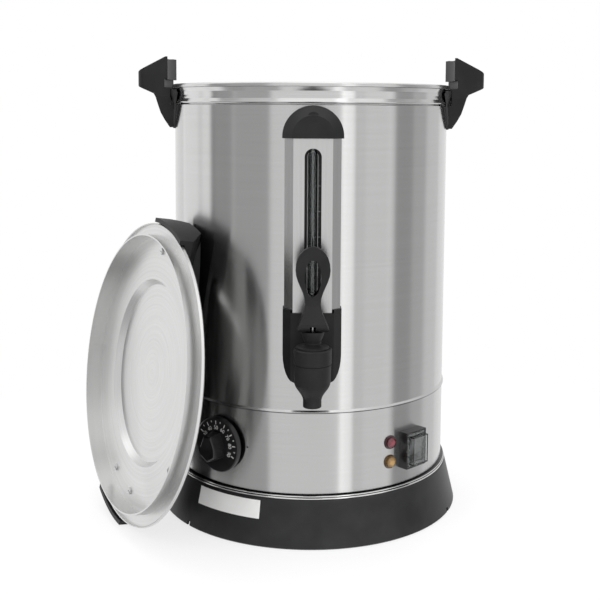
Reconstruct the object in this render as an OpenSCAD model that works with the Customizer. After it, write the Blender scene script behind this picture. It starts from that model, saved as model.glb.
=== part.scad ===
// Hot water urn: a double-walled steel boiler on a black base, with a tap and
// a sight gauge in front, two side handles, and its lid leaning at its side.
// Millimetres. The origin is the centre of the base's underside, +Z is up and
// the tap faces -Y. Azimuths turn from the front towards +X.

/* [Body] */
// Outer radius of the steel body
body_r = 150; // [140:1:165]
// Thickness of the steel sheet
sheet = 0.8; // [0.6:0.1:1.2]
// Height of the joint between the lower housing and the upper shell
seam_z = 135; // [130:1:150]
// Height of the upper shell's top edge
shell_top = 441; // [425:1:520]
// Height of the collar and rolled rim above the shell
collar_h = 21.6; // [18:0.2:26]
// Air gap between the outer shell and the tank
wall_gap = 5.2; // [5:0.1:8]
// How far the tank's floor lies above the seam
floor_rise = 15; // [10:0.5:25]

/* [Base] */
// Height of the black base
base_h = 47; // [40:1:52]
// How far the base flares out past the body at the floor
base_flare = 15.5; // [10:0.5:22]
// Wall of the base
base_wall = 3; // [2:0.2:4]
// Height of the two-bead trim ring
trim_h = 4; // [3:0.2:6]
// Height of the bottom plate's seat
plate_z = 9.5; // [8:0.5:14]

/* [Side handles] */
// Width of a handle at its grip
handle_w = 74; // [66:1:90]
// How far a handle reaches past the body
handle_reach = 37; // [34:0.5:46]
// Height of the ears above the rim
ear_h = 29.4; // [24:0.2:36]
// Height of the slot that takes the lid's edge
lock_slot_h = 9.6; // [8:0.2:12]
// How far the bracket reaches down below the shell's top edge
bracket_h = 25; // [20:1:32]

/* [Gauge] */
// Azimuth of the gauge and the tap
front_az = 0.7; // [-6:0.1:8]
// Width of the steel guard
guard_w = 54.8; // [50:0.2:60]
// How far the guard's face stands off the body
guard_out = 18; // [17:0.2:22]
// Width of the guard's flat face
guard_face_w = 38; // [34:1:42]
// Width of the window slot
slot_w = 16.4; // [13:0.2:19]
// Outer radius of the sight tube
tube_r = 4; // [3.2:0.1:4.6]
// Height of the gauge's cap
cap_h = 31.4; // [30.6:0.1:36]

/* [Tap] */
// Height of the tap's inlet above the seam
inlet_rise = 62; // [58:0.5:70]
// Distance of the tap's axis from the body's face
tap_out = 50; // [47:0.5:56]
// Outer radius of the tap's barrel
barrel_r = 18; // [16.8:0.1:20]
// Outer radius of the spout
spout_r = 8.75; // [8:0.05:10]
// Bore radius of the spout
spout_bore = 6.5; // [5:0.1:6.8]
// Length from the tap's inlet down to the spout's end
spout_drop = 40.5; // [38:0.5:50]
// Width of the lever's loop
loop_w = 32.6; // [30:0.2:36]
// Height of the lever's top above its pin
lever_h = 73.5; // [70:0.5:84]
// Lift of the valve stem at the lever's full tilt
stem_lift = 6; // [4:0.5:6.5]
// Full forward tilt of the lever, degrees
lever_tilt = 60; // [45:1:65]

/* [Controls] */
// Azimuth of the thermostat knob
knob_az = -37; // [-42:0.1:-30]
// Height of the knob above the trim ring
control_rise = 43.2; // [40:0.2:48]
// Radius of the knob's dial
dial_r = 28.4; // [25:0.1:31]
// Width of the knob's grip
grip_w = 21.6; // [18:0.2:26]
// Azimuth of the two lamps
lamp_az = 33.5; // [30:0.1:34]
// Radius of a lamp's bezel
lamp_r = 7.3; // [6:0.1:8]
// Spacing of the lamps
lamp_pitch = 20.4; // [18:0.2:24]
// Azimuth of the switch
switch_az = 44.2; // [43.8:0.1:52]
// Width of the switch's bezel
switch_w = 30; // [27:0.5:31]
// Height of the switch's bezel
switch_h = 38; // [35:0.5:42]

/* [Lid] */
// Radius of the lid's brim past the body
brim_over = 7; // [6:0.2:8]
// Depth of the lid's locating skirt
skirt_depth = 12; // [9:0.5:16]
// Radius of the raised disc
dome_r = 97.5; // [85:0.5:105]
// Rise of the raised disc
dome_rise = 6.5; // [4:0.5:8]
// Height of the lid's handle above the brim
lid_handle_h = 42; // [38:0.5:50]
// Width of the lid's handle
lid_handle_w = 38.5; // [34:0.5:46]

/* [Hidden] */

$fn = 96;
// Seat gap between pieces that rest on each other, and cutting allowance
seat = 0.1;
cut = 1;
// Clearance between neighbours that must not touch, and running fit of a shaft
clear = 0.3;
run = 0.05;
steel = [0.76, 0.76, 0.76];
bright = [0.85, 0.85, 0.86];
black = [0.08, 0.08, 0.085];
brass = [0.78, 0.62, 0.3];

// Vertical stack
housing_z = base_h + seat + sheet;
rim_top = shell_top + collar_h;
tank_floor = seam_z + floor_rise;
inner_r = body_r - sheet;
tank_r = inner_r - wall_gap;
flange_r = tank_r - 3;
mouth_r = tank_r + 2;
rim_r = body_r + 3.5;
rim_roll = 2;
lip_drop = 4;

// Base
skirt_r = body_r + base_flare;
skirt_top_r = body_r + 4.6;
plate_ledge_r = body_r - 2;
screw_ring_r = (flange_r + inner_r) / 2;
function skirt_in(z) = skirt_r - base_wall - (skirt_r - skirt_top_r) * z / base_h;

// Points of an arc
function arc(c, r, from, to, n) =
    [for (i = [0:n]) let (a = from + (to - from) * i / n) c + r * [cos(a), sin(a)]];

// Turns what is drawn for the front to an azimuth
module at_az(a) { rotate([0, 0, a]) children(); }

// A cylinder along the outward direction, between two distances from the axis
module outward(r, from, to, r_end = -1) {
    translate([0, -from, 0]) rotate([90, 0, 0])
        cylinder(h = to - from, r1 = r, r2 = r_end < 0 ? r : r_end);
}

// A box centred on the outward direction
module slab(w, h, from, to) {
    translate([-w / 2, -to, -h / 2]) cube([w, to - from, h]);
}

// An extrusion in depth of an outline drawn in (x, z), between two distances
module depth_extrude(from, to) {
    translate([0, -from, 0]) rotate([90, 0, 0]) linear_extrude(to - from) children();
}

// A pan-head screw along +Z, the head's underside at z = 0 and the shank below
module screw(r, length, head_r, head_h) {
    difference() {
        cylinder(r = head_r, h = head_h, $fn = 32);
        translate([-head_r, -0.5, head_h - 0.8]) cube([2 * head_r, 1, cut + 1]);
    }
    translate([0, 0, -length]) cylinder(r = r, h = length + 0.01, $fn = 32);
}

// A round tube swept along a list of points; its rings are carried along the
// path so that the tube never twists
function unit(v) = v / norm(v);
function tangent(p, i) = unit(p[min(i + 1, len(p) - 1)] - p[max(i - 1, 0)]);
function side_of(t) = unit(cross(t, abs(t[2]) < 0.9 ? [0, 0, 1] : [1, 0, 0]));
function across(v, t) = unit(v - (v * t) * t);
function ring_sides(p) = [for (i = 0, s = side_of(tangent(p, 0)); i < len(p);
    i = i + 1, s = i < len(p) ? across(s, tangent(p, i)) : s) s];
module sweep(path, r, sides) {
    n = len(path);
    ring = ring_sides(path);
    points = [for (i = [0:n - 1]) let (s = ring[i], u = cross(tangent(path, i), s))
        for (k = [0:sides - 1]) let (a = 360 * k / sides)
            path[i] + r * (cos(a) * s + sin(a) * u)];
    walls = [for (i = [0:n - 2], k = [0:sides - 1]) let (
        a = i * sides + k, b = i * sides + (k + 1) % sides, c = a + sides, d = b + sides)
        each [[a, c, b], [b, c, d]]];
    start = [for (k = [1:sides - 2]) [0, k, k + 1]];
    last = (n - 1) * sides;
    end = [for (k = [1:sides - 2]) [last, last + k + 1, last + k]];
    polyhedron(points, concat(start, walls, end));
}

// A route with its corners cut, as a list of points
function rounded(p) = concat([p[0]], [for (i = [0:len(p) - 2])
    each [p[i] * 0.75 + p[i + 1] * 0.25, p[i] * 0.25 + p[i + 1] * 0.75]], [p[len(p) - 1]]);

// ---------------------------------------------------------------- base

notch_w = 5;
notch_h = 5;
notch_azimuths = [-50, 66.5, 194.5];
bottom_screw_r = (plate_ledge_r + skirt_in(plate_z)) / 2;
screw_azimuths = [30 : 60 : 330];

module base_skirt() color(black) difference() {
    rotate_extrude() polygon([
        [skirt_r - 1.2, 0], [skirt_r, 1.2], [skirt_top_r, base_h - 1.5],
        [skirt_top_r - 1.5, base_h], [flange_r, base_h], [flange_r, base_h - base_wall],
        [skirt_in(base_h - base_wall), base_h - base_wall],
        [skirt_in(plate_z + base_wall), plate_z + base_wall],
        [plate_ledge_r, plate_z + base_wall], [plate_ledge_r, plate_z],
        [skirt_in(plate_z), plate_z], [skirt_in(0), 0]]);
    for (a = notch_azimuths) at_az(a) translate([0, 0, notch_h / 2 - cut / 2])
        slab(notch_w, notch_h + cut, skirt_r - base_wall - 2, skirt_r + cut);
    for (a = screw_azimuths) at_az(a) {
        translate([0, -screw_ring_r, base_h - base_wall - cut])
            cylinder(r = 2.1, h = base_wall + 2 * cut, $fn = 32);
        translate([0, -bottom_screw_r, plate_z - cut])
            cylinder(r = 1.6, h = base_wall + 2 * cut, $fn = 32);
    }
}

bottom_plate_r = skirt_in(plate_z) - 0.5;
module bottom_plate() color(steel) difference() {
    translate([0, 0, plate_z - seat - sheet]) cylinder(r = bottom_plate_r, h = sheet);
    for (a = screw_azimuths) at_az(a) translate([0, -bottom_screw_r, 0])
        cylinder(r = 1.8, h = plate_z + cut, $fn = 32);
    for (a = [0 : 30 : 330], r = [48, 64]) at_az(a + r) translate([0, -r, 0])
        cylinder(r = 3.5, h = plate_z + cut, $fn = 24);
}

module foot_pads() color(black) for (a = [45 : 90 : 315]) at_az(a)
    translate([0, -(plate_ledge_r - 16), 0]) {
        cylinder(r1 = 9, r2 = 10.5, h = plate_z - 2 * seat - sheet);
    }

module bottom_screws() color(steel) for (a = screw_azimuths) at_az(a)
    translate([0, -bottom_screw_r, plate_z - 2 * seat - sheet]) mirror([0, 0, 1])
        screw(1.5, base_wall + sheet, 3.2, 2);

trim_top = base_h + trim_h;
bead_r = trim_h / 4;
module trim_ring() color(bright) difference() {
    rotate_extrude() polygon(concat(
        [[flange_r, base_h + seat]],
        arc([body_r + 3.1, base_h + seat + bead_r], bead_r, -90, 70, 5),
        arc([body_r + 2.4, base_h + seat + 3 * bead_r - 0.05], bead_r - 0.05, -50, 90, 5),
        [[body_r + seat, trim_top], [body_r + seat, base_h + seat + sheet],
         [flange_r, base_h + seat + sheet]]));
    for (a = screw_azimuths) at_az(a) translate([0, -screw_ring_r, base_h - cut])
        cylinder(r = 2.1, h = trim_h + 2 * cut, $fn = 32);
}

// ---------------------------------------------------------------- casing

control_z = trim_top + control_rise;
lamp_z = control_z - lamp_pitch / 2 - 6.7;
switch_z = lamp_z + lamp_pitch / 2;
inlet_z = control_z - 9.2;
inlet_w = 27.4;
inlet_h = 20.4;
switch_hole_w = switch_w - 5;
switch_hole_h = switch_h - 6;
shank_z = seam_z + inlet_rise;
shank_r = 8;
shank_bore = 5;
cap_stud_z = shell_top - 13;
handle_screw_z = shell_top - 9;
handle_screw_x = 12;

module lower_housing() color(steel) difference() {
    rotate_extrude() polygon([
        [flange_r, housing_z + seat], [body_r, housing_z + seat], [body_r, seam_z - seat],
        [flange_r + 3, seam_z - seat], [flange_r + 3, seam_z - seat - sheet],
        [inner_r, seam_z - seat - sheet], [inner_r, housing_z + seat + sheet],
        [flange_r, housing_z + seat + sheet]]);
    at_az(knob_az) translate([0, 0, control_z]) {
        outward(5, inner_r - 5, body_r + cut);
        for (s = [-1, 1]) translate([s * thermostat_screw_x, 0, 0])
            outward(1.9, inner_r - 5, body_r + cut);
    }
    at_az(lamp_az) for (z = [0, lamp_pitch]) translate([0, 0, lamp_z + z])
        outward(lamp_hole_r, inner_r - 5, body_r + cut);
    at_az(switch_az) translate([0, 0, switch_z])
        slab(switch_hole_w, switch_hole_h, inner_r - 5, body_r + cut);
    at_az(180) translate([0, 0, inlet_z]) {
        slab(inlet_w + 0.6, inlet_h + 0.6, inner_r - 5, body_r + cut);
        for (s = [-1, 1]) translate([s * inlet_screw_x, 0, 0])
            outward(1.9, inner_r - 5, body_r + cut);
    }
    for (a = screw_azimuths) at_az(a) translate([0, -screw_ring_r, housing_z - cut]) {
        cylinder(r = 2.1, h = sheet + 3 * cut, $fn = 32);
    }
    for (a = screw_azimuths) at_az(a + 30)
        translate([0, -screw_ring_r, seam_z - sheet - 2 * cut])
            cylinder(r = 2.1, h = sheet + 4 * cut, $fn = 32);
}

bead_out = 1.6;
module outer_shell() color(steel) difference() {
    rotate_extrude() polygon([
        [flange_r, seam_z + seat], [body_r + bead_out, seam_z + seat],
        [body_r + bead_out, seam_z + 1.2], [body_r, seam_z + 2.8],
        [body_r, shell_top - 0.6], [body_r - 0.6, shell_top],
        [tank_r + 1.5, shell_top], [tank_r + 1.5, shell_top - sheet],
        [inner_r, shell_top - sheet], [inner_r, seam_z + seat + sheet],
        [flange_r, seam_z + seat + sheet]]);
    at_az(front_az) {
        translate([0, 0, shank_z]) outward(shank_r + 0.2, inner_r - 5, body_r + cut);
        translate([0, 0, cap_stud_z]) outward(2.7, inner_r - 5, body_r + cut);
    }
    for (a = [90, -90]) at_az(a) handle_screw_places()
        outward(2.2, inner_r - 5, body_r + cut);
    for (a = screw_azimuths) at_az(a + 30) translate([0, -screw_ring_r, seam_z - cut])
        cylinder(r = 2.1, h = sheet + 2 * cut, $fn = 32);
}

// The concave band between the shell's top edge and the rolled rim
band_top = rim_top - lip_drop - 0.4;
module collar_band() color(bright) rotate_extrude() polygon(concat(
    [[mouth_r + 2 * sheet, shell_top + 1.1], [body_r - 0.4, shell_top + 1.1]],
    arc([body_r - 0.4, shell_top + 2.5], 1.4, -90, 40, 4),
    [[body_r - 0.4, shell_top + 6], [body_r - 0.8, (shell_top + band_top) / 2 + 1],
     [body_r - 0.3, band_top - 4], [body_r + 1.8, band_top],
     [body_r + 1, band_top], [body_r - 1.1, band_top - 4],
     [body_r - 1.6, (shell_top + band_top) / 2 + 1], [body_r - 1.2, shell_top + 5.5],
     [body_r - 0.4, shell_top + 3.3],
     [body_r - 1.2, shell_top + 1.1 + sheet], [mouth_r + 2 * sheet, shell_top + 1.1 + sheet]]));

module inner_tank() color(bright) difference() {
    rotate_extrude() polygon(concat(
        [[0, tank_floor], [tank_r - 4, tank_floor]],
        arc([tank_r - 4, tank_floor + 4], 4, -60, 0, 3),
        [[tank_r, shell_top + 1.5], [mouth_r + sheet, shell_top + 3.5]],
        [[mouth_r + sheet, rim_top - rim_roll]],
        arc([mouth_r + rim_roll, rim_top - rim_roll], rim_roll - sheet, 180, 90, 3),
        arc([rim_r - rim_roll, rim_top - rim_roll], rim_roll - sheet, 90, 0, 3),
        [[rim_r - sheet, rim_top - lip_drop], [rim_r, rim_top - lip_drop]],
        arc([rim_r - rim_roll, rim_top - rim_roll], rim_roll, 0, 90, 4),
        arc([mouth_r + rim_roll, rim_top - rim_roll], rim_roll, 90, 180, 4),
        [[mouth_r, shell_top + 3.5], [tank_r - sheet, shell_top + 1.5]],
        [[tank_r - sheet, tank_floor + 4], [tank_r - 4, tank_floor + sheet],
         [0, tank_floor + sheet]]));
    at_az(front_az) translate([0, 0, shank_z]) outward(shank_r + 0.2, tank_r - 9, tank_r + 3);
}

module flange_screws() color(steel) {
    for (a = screw_azimuths) at_az(a)
        translate([0, -screw_ring_r, housing_z + 2 * seat + sheet])
            screw(1.95, 2 * sheet + base_wall + 3 * seat, 3.6, 2.2);
    for (a = screw_azimuths) at_az(a + 30)
        translate([0, -screw_ring_r, seam_z - 2 * seat - sheet]) mirror([0, 0, 1])
            screw(1.95, 2 * sheet + 4 * seat + 2, 3.2, 2);
}

// ---------------------------------------------------------------- heater

// The heater is laid out from its plate, and the plate from the body
plate_t = 7;
plate_r = 0.64 * body_r;
heater_top = tank_floor - 2 * seat - plate_t;
element_r = 0.646 * plate_r;
element_tube = 4.2;
warm_r = 0.396 * plate_r;
warm_tube = 3.2;
bar_top = heater_top - 2 * element_tube - 2 * seat;

module heat_plate() color([0.8, 0.8, 0.8])
    translate([0, 0, tank_floor - seat - plate_t]) cylinder(r = plate_r, h = plate_t);

module ring_element(ring_r, tube, gap_angle) {
    translate([0, 0, heater_top - tube]) {
        rotate([0, 0, 90 + gap_angle]) rotate_extrude(angle = 360 - 2 * gap_angle)
            translate([ring_r, 0]) circle(r = tube, $fn = 32);
        for (s = [-1, 1]) rotate([0, 0, 90 + s * gap_angle]) translate([ring_r, 0, 0]) {
            translate([0, 0, -26]) cylinder(r = tube - 0.8, h = 26, $fn = 32);
            translate([0, 0, -tube - 2]) cylinder(r = tube + 0.6, h = 2 * tube + 1.6, $fn = 32);
        }
    }
}
module heating_element() color([0.35, 0.33, 0.31])
    ring_element(element_r, element_tube, 14);
module warm_element() color([0.35, 0.33, 0.31]) ring_element(warm_r, warm_tube, 30);

bar_half = 0.8125 * plate_r;
module press_bar() color(steel) difference() {
    translate([-bar_half, -8, bar_top - 2.5]) cube([2 * bar_half, 16, 2.5]);
    translate([0, 0, bar_top - 4]) cylinder(r = 3.2, h = 6, $fn = 32);
}

stud_bottom = bar_top - 12;
module tank_stud() color(steel) {
    translate([0, 0, stud_bottom]) cylinder(r = 3, h = heater_top - stud_bottom, $fn = 32);
    translate([0, 0, bar_top - 2.5 - seat - 5]) cylinder(r = 5.6, h = 5, $fn = 6);
}

cutout_y = -0.855 * plate_r;
module thermal_cutout() color(black) translate([0, cutout_y, heater_top - 8]) {
    cylinder(r = 9, h = 8);
    for (x = [-5, 5]) translate([x - 3, -0.4, -7]) cube([6, 0.8, 7.5]);
}

bulb_y = 0.845 * plate_r;
bulb_half = 0.354 * plate_r;
bulb_r = 3;
module sensor_bulb() color(brass) {
    translate([-bulb_half, bulb_y, heater_top - bulb_r]) rotate([0, 90, 0])
        cylinder(r = bulb_r, h = 2 * bulb_half, $fn = 32);
    translate([-4, bulb_y - 9, heater_top - 2 * bulb_r - 1.2]) cube([8, 18, 1]);
}

// ---------------------------------------------------------------- thermostat

thermostat_screw_x = 17;
thermostat_face = sqrt(pow(inner_r, 2) - pow(22, 2)) - clear;
thermostat_depth = 24;
thermostat_back = thermostat_face - 1.5 - thermostat_depth;
spindle_r = 3;
dial_back = body_r + 2.2;
dial_t = 5;
grip_front = dial_back + 20;
spindle_front = dial_back + 15;

// A place inside the housing, its x and y in shares of the body's radius
function inside(x, y, z) = [x * body_r, y * body_r, z];
// A place at a distance from the axis, in the direction of an azimuth
function polar(d, az, z) = [d * sin(az), -d * cos(az), z];
// Wires and tubes leave a face squarely for this far before they bend
lead = 7;
module capillary_tube() color(brass) sweep(rounded([
    [-bulb_half - seat, bulb_y, heater_top - bulb_r],
    [-bulb_half - lead, bulb_y, heater_top - bulb_r],
    inside(-0.36, 0.54, heater_top - 6),
    inside(-0.48, 0.48, heater_top - 14), inside(-0.587, 0.267, heater_top - 30),
    inside(-0.6, 0, control_z + 8), inside(-0.56, -0.293, control_z + 2),
    polar(thermostat_back - 2 * lead, knob_az, control_z),
    polar(thermostat_back - seat, knob_az, control_z)]), 1, 6);

module thermostat_body() color([0.9, 0.88, 0.82]) at_az(knob_az)
    translate([0, 0, control_z]) difference() {
        union() {
            slab(44, 30, thermostat_face - 1.5, thermostat_face);
            slab(32, 30, thermostat_back, thermostat_face - 1);
        }
        outward(spindle_r + run, thermostat_face - 16, body_r);
        for (s = [-1, 1]) translate([s * thermostat_screw_x, 0, 0])
            outward(1.7, thermostat_face - 8, body_r);
    }

module thermostat_screws() color(steel) at_az(knob_az) translate([0, 0, control_z])
    for (s = [-1, 1]) translate([s * thermostat_screw_x, -(body_r + seat), 0])
        rotate([90, 0, 0]) screw(1.6, body_r - thermostat_face + 4, 3, 1.5);

module thermostat_spindle() color(brass) at_az(knob_az) translate([0, 0, control_z])
    outward(spindle_r, thermostat_face - 15, spindle_front);

// The grip's outline on the dial, in (x, z): flat at the top, pointed below
grip_top = 13.5;
grip_shoulder = 10.5;
grip_point = 17;
grip_taper = 0.88;
module grip_outline() polygon([[-5, grip_top], [5, grip_top], [grip_w / 2, 0],
    [grip_w / 2, -grip_shoulder], [0, -grip_point], [-grip_w / 2, -grip_shoulder],
    [-grip_w / 2, 0]]);
module control_knob() color(black) at_az(knob_az) translate([0, 0, control_z])
    difference() {
        union() {
            outward(dial_r, dial_back, dial_back + dial_t - 1);
            outward(dial_r, dial_back + dial_t - 1, dial_back + dial_t, dial_r - 1);
            translate([0, -dial_back - 1, 0]) rotate([90, 0, 0])
                linear_extrude(grip_front - dial_back - 2, scale = grip_taper)
                    grip_outline();
            translate([0, 1 - grip_front, 0]) rotate([90, 0, 0])
                linear_extrude(1, scale = 0.9) scale(grip_taper) grip_outline();
        }
        outward(spindle_r + run, dial_back - cut, spindle_front + clear);
        difference() {
            outward(dial_r - 2.5, dial_back - cut, dial_back + dial_t - 2);
            outward(7, dial_back - 2 * cut, dial_back + dial_t);
        }
    }

// ---------------------------------------------------------------- lamps

lamp_hole_r = lamp_r - 2;
module lamp(z) at_az(lamp_az) translate([0, 0, z]) {
    outward(lamp_r, body_r + seat, body_r + 2, lamp_r - 0.8);
    outward(lamp_hole_r - 0.1, inner_r - 6, body_r + 1);
    outward(lamp_r - 1.8, body_r + 1, body_r + 3.4);
    outward(lamp_r - 1.8, body_r + 3.4, body_r + 4.6, lamp_r - 4);
}
module red_lamp() color([0.6, 0.1, 0.15]) lamp(lamp_z + lamp_pitch);
module amber_lamp() color([0.85, 0.5, 0.15]) lamp(lamp_z);
module lamp_bodies() color([0.9, 0.88, 0.82]) at_az(lamp_az)
    for (z = [0, lamp_pitch]) translate([0, 0, lamp_z + z]) {
        outward(lamp_hole_r - 0.4, inner_r - 24, inner_r - 6 - seat);
        for (x = [-2, 2]) translate([x, 0, 0]) slab(0.8, 4, inner_r - 31, inner_r - 24);
    }

// ---------------------------------------------------------------- switch

bezel_back = sqrt(pow(body_r, 2) - pow(switch_w / 2, 2));
bezel_front = body_r + 9.5;
switch_well_w = switch_w - 8;
switch_well_h = switch_h - 10;
rocker_pivot = bezel_front - 3;
cover_w = switch_w - 7.6;
cover_h = switch_h - 8.6;
cover_wall = 1;
rocker_w = cover_w - 2 * cover_wall - 2 * clear;
rocker_half = switch_well_h / 2 - 1.6;
rocker_turn = 12;
cover_out = 6;
module switch_housing() color(black) at_az(switch_az) translate([0, 0, switch_z])
    difference() {
        union() {
            difference() {
                slab(switch_w, switch_h, bezel_back - 2, bezel_front);
                translate([0, 0, -switch_z]) cylinder(r = body_r + seat, h = seam_z);
            }
            slab(switch_hole_w - 0.6, switch_hole_h - 0.6, inner_r - 26, body_r + 2);
        }
        slab(switch_well_w, switch_well_h, bezel_front - 14, bezel_front + cut);
        slab(switch_w - 3.6, switch_h - 3.6, bezel_front - 1.2, bezel_front + cut);
        translate([-switch_well_w / 2 - 2.5, -rocker_pivot, 0]) rotate([0, 90, 0])
            cylinder(r = 1.5 + run, h = switch_well_w + 5, $fn = 32);
    }

module switch_rocker() color([0.45, 0.45, 0.45]) at_az(switch_az)
    translate([0, -rocker_pivot, switch_z]) rotate([rocker_turn / 2, 0, 0]) {
        rotate([0, -90, 0]) rotate([0, 0, 180]) linear_extrude(rocker_w, center = true)
            polygon([[-rocker_half, 1.2], [-rocker_half, 3.2],
                [-rocker_half * 0.45, 2.1], [rocker_half * 0.45, 2.1], [rocker_half, 3.2],
                [rocker_half, 1.2], [4, -6], [-4, -6]]);
        translate([-switch_well_w / 2 - 2.2, 0, 0]) rotate([0, 90, 0])
            cylinder(r = 1.5, h = switch_well_w + 4.4, $fn = 32);
        for (i = [0:3]) translate([0, -3.4, -rocker_half + 1.4 + 1.7 * i])
            cube([rocker_w - 4, 1.4, 0.7], center = true);
    }

module switch_cover() color([0.8, 0.85, 0.85, 0.4]) at_az(switch_az)
    translate([0, 0, switch_z]) difference() {
        union() {
            slab(switch_w - 3.8, switch_h - 3.8, bezel_front - 1.1, bezel_front - 0.1);
            slab(cover_w, cover_h, bezel_front - 1, bezel_front + cover_out);
        }
        slab(cover_w - 2 * cover_wall, cover_h - 2 * cover_wall, bezel_front - 2,
            bezel_front + cover_out - cover_wall);
    }

// ---------------------------------------------------------------- supply

inlet_screw_x = 20;
inlet_front = body_r + 3.5;
module power_inlet() color(black) at_az(180) translate([0, 0, inlet_z]) difference() {
    union() {
        difference() {
            slab(50, 27, body_r - 4, inlet_front);
            translate([0, 0, -inlet_z]) cylinder(r = body_r + seat, h = seam_z);
        }
        slab(inlet_w, inlet_h, body_r - 22, body_r + 2);
    }
    difference() {
        slab(24.4, 16.6, inlet_front - 17, inlet_front + cut);
        for (x = [-7, 0, 7]) translate([x, 0, x == 0 ? 2 : -2])
            slab(2, 5, inlet_front - 18, inlet_front - 5);
    }
    for (s = [-1, 1]) translate([s * inlet_screw_x, 0, 0])
        outward(1.9, body_r - 6, inlet_front + cut);
}

module inlet_screws() color(steel) at_az(180) translate([0, 0, inlet_z])
    for (s = [-1, 1]) translate([s * inlet_screw_x, -(inlet_front + seat), 0])
        rotate([90, 0, 0]) screw(1.7, inlet_front - body_r + 7, 3.2, 1.6);

block_y = 0.347 * body_r;
block_z = plate_z;
module terminal_block() color([0.92, 0.9, 0.84]) translate([0, block_y, block_z]) {
    difference() {
        translate([-26, -9, 0]) cube([52, 18, 15]);
        for (x = [-18, -6, 6, 18]) translate([x, 0, 6]) {
            cylinder(r = 3, h = 12, $fn = 24);
            translate([0, -12, 3]) rotate([-90, 0, 0]) cylinder(r = 2, h = 24, $fn = 24);
        }
    }
    for (x = [-32, 32]) translate([x, 0, 0]) difference() {
        translate([-7, -5, 0]) cube([14, 10, 3]);
        translate([0, 0, -cut]) cylinder(r = 2, h = 6, $fn = 24);
    }
}

// Wires between the inlet, the block, the switch, the thermostat, the cut-out,
// the elements and the lamps
wire_r = 1.6;
loom_r = 0.72 * body_r;
element_foot = heater_top - element_tube - 26;
warm_foot = heater_top - warm_tube - 26;
function element_end(ring_r, gap_angle, s, foot) =
    [ring_r * cos(90 + s * gap_angle), ring_r * sin(90 + s * gap_angle), foot];
module wiring() color([0.75, 0.2, 0.15]) {
    wire_x = [-18, -6, 6, 18];
    wire_z = block_z + 9;
    block_front = block_y - 9 - seat;
    block_back = block_y + 9 + seat;
    switch_back = inner_r - 26 - seat;
    lamp_back = inner_r - 31 - seat;
    control_back = thermostat_back - seat;
    inlet_back = body_r - 22 - seat;
    for (i = [0:2]) sweep(rounded([[7 * (i - 1), inlet_back, inlet_z],
        [7 * (i - 1), inlet_back - lead, inlet_z],
        [wire_x[i], block_back + 24, block_z + 20], [wire_x[i], block_back + lead, wire_z],
        [wire_x[i], block_back, wire_z]]), wire_r, 6);
    sweep(rounded([[wire_x[0], block_front, wire_z], [wire_x[0], block_front - lead, wire_z],
        inside(-0.067, 0.133, plate_z + 12.5), inside(0.2, -0.133, plate_z + 14.5),
        inside(0.467, -0.333, plate_z + 30.5), polar(loom_r, switch_az, switch_z - 12),
        polar(switch_back - lead, switch_az, switch_z - 6),
        polar(switch_back, switch_az, switch_z - 6)]), wire_r, 6);
    sweep(rounded([polar(switch_back, switch_az, switch_z + 6),
        polar(switch_back - lead, switch_az, switch_z + 6),
        polar(loom_r, switch_az - 6, switch_z + 10), inside(0.2, -0.44, control_z - 6),
        inside(-0.133, -0.413, control_z - 10), polar(loom_r, knob_az + 4, control_z - 10),
        polar(control_back - lead, knob_az, control_z - 8),
        polar(control_back, knob_az, control_z - 8)]), wire_r, 6);
    sweep(rounded([polar(control_back, knob_az, control_z + 9),
        polar(control_back - lead, knob_az, control_z + 9),
        polar(loom_r, knob_az + 2, control_z + 12), inside(-0.24, -0.547, control_z + 14),
        [-12, cutout_y, control_z + 12], [-5, cutout_y, heater_top - 20],
        [-5, cutout_y, heater_top - 15 - seat]]), wire_r, 6);
    sweep(rounded([[5, cutout_y, heater_top - 15 - seat], [5, cutout_y, heater_top - 24],
        inside(0.16, -0.333, heater_top - 36), inside(0.267, 0.067, heater_top - 40),
        inside(0.2, 0.333, heater_top - 42),
        element_end(element_r, 14, -1, element_foot - 8),
        element_end(element_r, 14, -1, element_foot - seat)]), wire_r, 6);
    sweep(rounded([[wire_x[1], block_front, wire_z], [wire_x[1], block_front - lead, wire_z],
        inside(-0.08, 0.2, plate_z + 20.5), inside(-0.16, 0.293, plate_z + 50.5),
        element_end(element_r, 14, 1, element_foot - 10),
        element_end(element_r, 14, 1, element_foot - seat)]), wire_r, 6);
    sweep(rounded([[wire_x[2], block_front, wire_z], [wire_x[2], block_front - lead, wire_z],
        inside(-0.013, 0.16, plate_z + 24.5), inside(-0.133, 0.147, plate_z + 60.5),
        element_end(warm_r, 30, 1, warm_foot - 10),
        element_end(warm_r, 30, 1, warm_foot - seat)]), wire_r, 6);
    sweep(rounded([element_end(warm_r, 30, -1, warm_foot - seat),
        element_end(warm_r, 30, -1, warm_foot - 8), inside(0.2, 0.053, seam_z - 49),
        inside(0.4, -0.267, seam_z - 51), polar(loom_r - 4, lamp_az, lamp_z + 6),
        polar(lamp_back - lead, lamp_az, lamp_z + 1), polar(lamp_back, lamp_az, lamp_z + 1)]),
        wire_r - 0.4, 6);
}

// ---------------------------------------------------------------- handles

slot_z = rim_top - lip_drop + 0.4;
slot_top = slot_z + lock_slot_h;
ear_r = body_r + brim_over + 1.6;
slot_r = ear_r + 3.4;
ear_top = rim_top + ear_h;
grip_x = body_r + handle_reach;
bracket_z = shell_top - bracket_h;
plate_back = body_r + 0.15;
bracket_in = plate_back + 2.2;

grip_corner = 9;
ear_slope = 14.5;
recess_half = handle_w / 2 - 4;
recess_out = grip_x - 3.5;
recess_corner = 6;
recess_deep = grip_x - body_r - 20;
recess_top = ear_top - ear_slope - 6;

module handle_screw_places()
    for (x = [-1, 1]) translate([x * handle_screw_x, 0, handle_screw_z]) children();

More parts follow.
